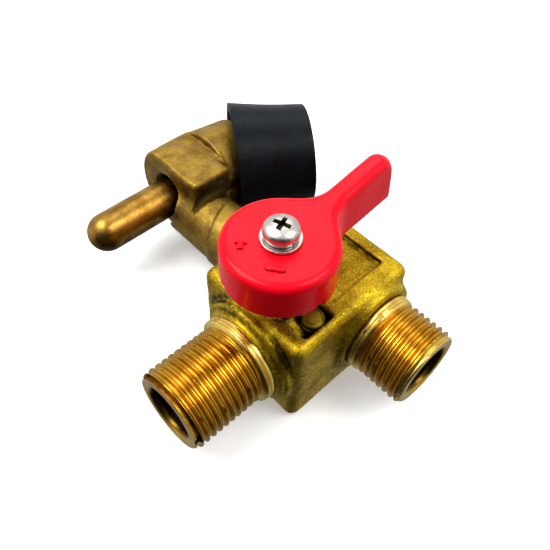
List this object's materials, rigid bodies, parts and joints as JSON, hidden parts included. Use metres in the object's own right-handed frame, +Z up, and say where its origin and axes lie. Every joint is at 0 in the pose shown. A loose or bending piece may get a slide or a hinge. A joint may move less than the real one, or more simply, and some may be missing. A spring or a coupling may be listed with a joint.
{
  "type": "three way refuelling valve",
  "caption": "Brass quarter-turn valve with threaded pipe ends, a red lever handle and a squared filling head closed by a pull-out dust plug with a rubber boot.",
  "frame": {"origin": "on the block's flat base, where the stem's axis meets it", "axes": "+Z up along the stem, port A opens towards -Y, port B opens towards +X, the filling head lies towards -X"},
  "size_m": [0.1016, 0.0943, 0.0575],
  "materials": {
    "cast_brass": "sand-cast, grainy, worn bright at the edges",
    "machined_brass": "turned, bright",
    "bronze_pin": "satin, turned",
    "red_paint": "gloss paint on cast metal",
    "zinc_steel": "bright plating",
    "spring_steel": "drawn wire",
    "black_rubber": "satin, lightly scuffed",
    "seal_rubber": "matte",
    "white_ptfe": "matte"
  },
  "bodies": {
    "valve_body": {"body_casting": "cast_brass", "ball_seat_inner": "white_ptfe", "ball_seat_outer": "white_ptfe", "seat_retainer": "machined_brass", "retainer_o_ring": "seal_rubber", "thrust_washer": "white_ptfe", "gland_nut": "machined_brass", "stop_pin": "machined_brass", "check_seat": "machined_brass", "check_spring": "spring_steel", "spring_retainer": "machined_brass"},
    "handle_group": {"handle": "red_paint", "handle_screw": "zinc_steel", "spring_washer": "zinc_steel", "flat_washer": "zinc_steel", "stem": "zinc_steel", "stem_o_ring_lower": "seal_rubber", "stem_o_ring_upper": "seal_rubber", "ball": "zinc_steel"},
    "poppet": {"check_poppet": "machined_brass", "poppet_seal": "seal_rubber"},
    "dust_plug": {"plug_pin": "bronze_pin", "plug_o_ring_front": "seal_rubber", "plug_o_ring_rear": "seal_rubber", "plug_washer": "seal_rubber", "plug_stud": "bronze_pin", "rubber_boot": "black_rubber"}
  },
  "joints": [
    {"name": "handle_turn", "type": "hinge", "parent": "valve_body", "child": "handle_group", "pos_m": [0, 0, 0.0165], "axis": [0, 0, 1], "range_deg": [-90, 0]},
    {"name": "dust_plug_pull", "type": "slide", "parent": "valve_body", "child": "dust_plug", "axis": [0, 1, 0], "range_m": [0, 0.06]},
    {"name": "check_poppet_lift", "type": "slide", "parent": "valve_body", "child": "poppet", "axis": [1, 0, 0], "range_m": [0, 0.0015], "stiffness_N_per_m": 300, "springref_m": -0.005, "deforming": ["check_spring"]}
  ]
}
